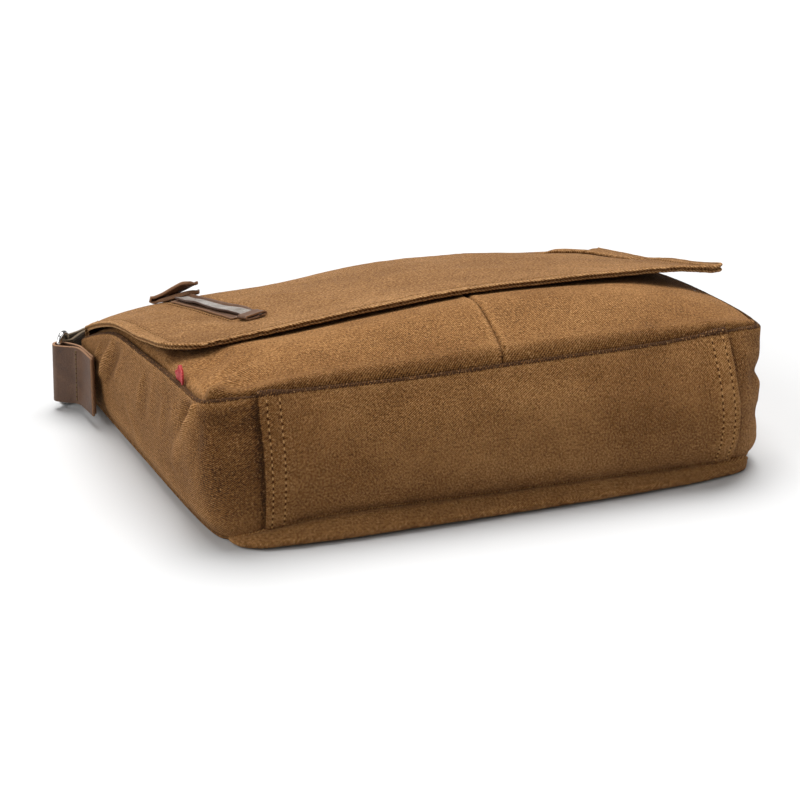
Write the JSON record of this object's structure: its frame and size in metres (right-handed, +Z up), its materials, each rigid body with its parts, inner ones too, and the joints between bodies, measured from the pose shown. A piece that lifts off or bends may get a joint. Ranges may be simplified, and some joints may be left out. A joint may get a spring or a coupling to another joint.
{
  "type": "shoulder bag",
  "caption": "Soft canvas messenger-style shoulder bag lying on its back, with an overlapping flap, leather flap strap and keeper, ring tabs at the sides and a webbing shoulder strap.",
  "frame": {"origin": "under the middle of the bounding box, on the surface that the bag lies on", "axes": "+Z up from the surface that the bag lies on, out of its front; +X across the bag to the picture's right; +Y from the bag's bottom to its open top"},
  "size_m": [0.4194, 0.361, 0.1195],
  "materials": {
    "canvas": "washed brown cotton twill, matte, lighter along seams and folds",
    "dark_leather": "dark brown leather, soft sheen, tan cut edges",
    "worn_leather": "grey-brown leather, worn, soft sheen",
    "ring_steel": "polished steel wire",
    "webbing": "olive-brown cotton webbing, ribbed, matte",
    "red_cloth": "plain red woven tape, slight sheen"
  },
  "bodies": {
    "root": {"back_panel": "canvas", "gusset_left": "canvas", "bottom_panel": "canvas", "gusset_right": "canvas", "front_panel_left": "canvas", "front_panel_right": "canvas", "flap": "canvas", "flap_strap_base": "dark_leather", "flap_strap": "worn_leather", "strap_keeper": "dark_leather", "pull_tab": "dark_leather", "ring_tab_left": "dark_leather", "ring_tab_right": "dark_leather", "ring_left": "ring_steel", "ring_right": "ring_steel", "shoulder_strap": "webbing", "red_tag": "red_cloth"}
  },
  "joints": []
}
